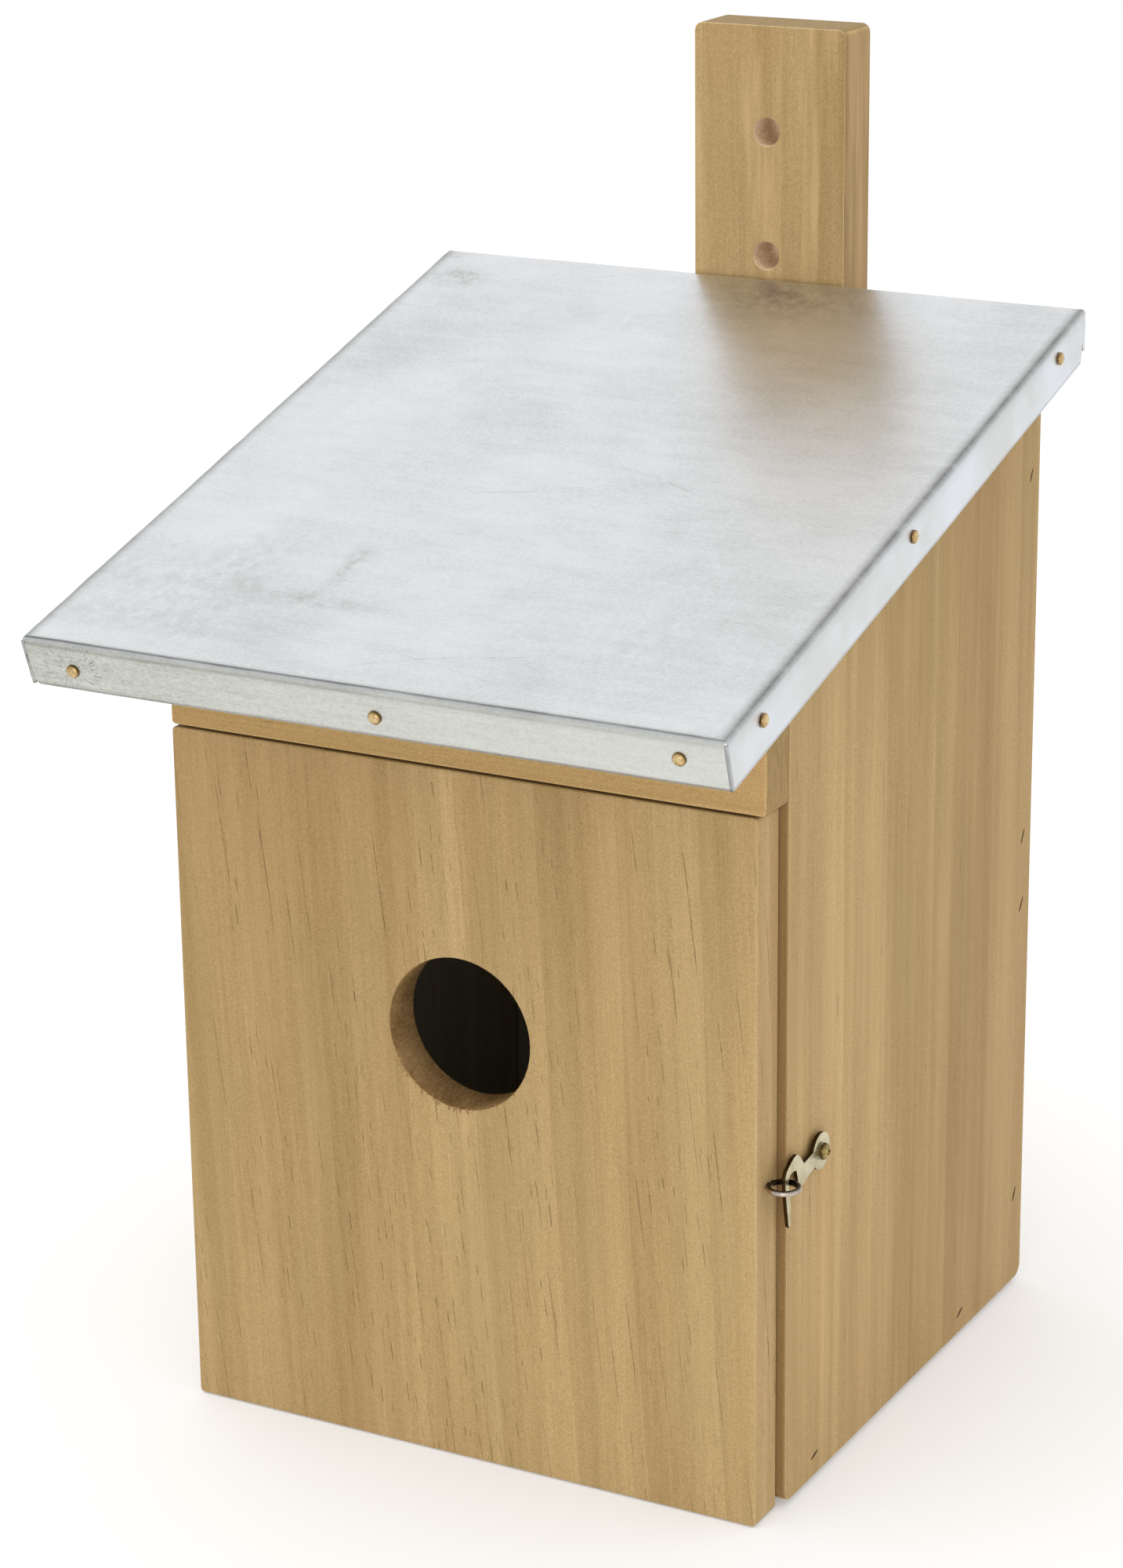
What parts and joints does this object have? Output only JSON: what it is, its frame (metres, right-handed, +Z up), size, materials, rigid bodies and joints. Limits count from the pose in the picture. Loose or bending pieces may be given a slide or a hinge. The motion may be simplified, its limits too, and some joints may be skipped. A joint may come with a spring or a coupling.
{
  "type": "birdhouse",
  "caption": "Wooden nest box with a round entrance in a side-hung front door, a hook latch, a sloping folded metal roof cap and a rear batten for hanging it up.",
  "frame": {"origin": "at the base, in the middle of the overall width and depth", "axes": "+X to the right as seen from the front, -Y out of the door and its entrance hole, +Z up"},
  "size_m": [0.1538, 0.1812, 0.2759],
  "materials": {
    "stained_pine": "olive-brown stain, fine sawn grain",
    "galvanised_sheet": "dull galvanised, blurred reflections",
    "brass": "polished",
    "pale_brass": "pale plated, satin",
    "steel": "dull wire",
    "bright_steel": "bright plated"
  },
  "bodies": {
    "box": {"side_panel_left": "stained_pine", "side_panel_right": "stained_pine", "back_panel": "stained_pine", "floor_panel": "stained_pine", "front_rail": "stained_pine", "roof_board": "stained_pine", "roof_cap": "galvanised_sheet", "roof_cap_pins": "brass", "mounting_batten": "stained_pine", "batten_nails": "steel", "upper_hinge_fixed_leaf": "brass", "upper_hinge_pin": "brass", "lower_hinge_fixed_leaf": "brass", "lower_hinge_pin": "brass", "hinge_fixed_screws": "brass", "latch_screw": "brass", "side_to_back_brads": "steel", "side_to_floor_brads": "steel", "back_to_floor_brads": "steel", "rail_brads": "steel", "roof_nails": "steel"},
    "door": {"front_door": "stained_pine", "upper_hinge_door_leaf": "brass", "lower_hinge_door_leaf": "brass", "hinge_door_screws": "brass", "screw_eye": "bright_steel"},
    "latch_hook": {"latch_hook": "pale_brass"}
  },
  "joints": [
    {"name": "door_swing", "type": "hinge", "parent": "box", "child": "door", "pos_m": [-0.068, -0.04465, 0.07445], "axis": [0, 0, -1], "range_deg": [0, 170]},
    {"name": "hook_swing", "type": "hinge", "parent": "box", "child": "latch_hook", "pos_m": [0.0678, -0.0321, 0.0736], "axis": [-1, 0, 0], "range_deg": [0, 180]}
  ]
}
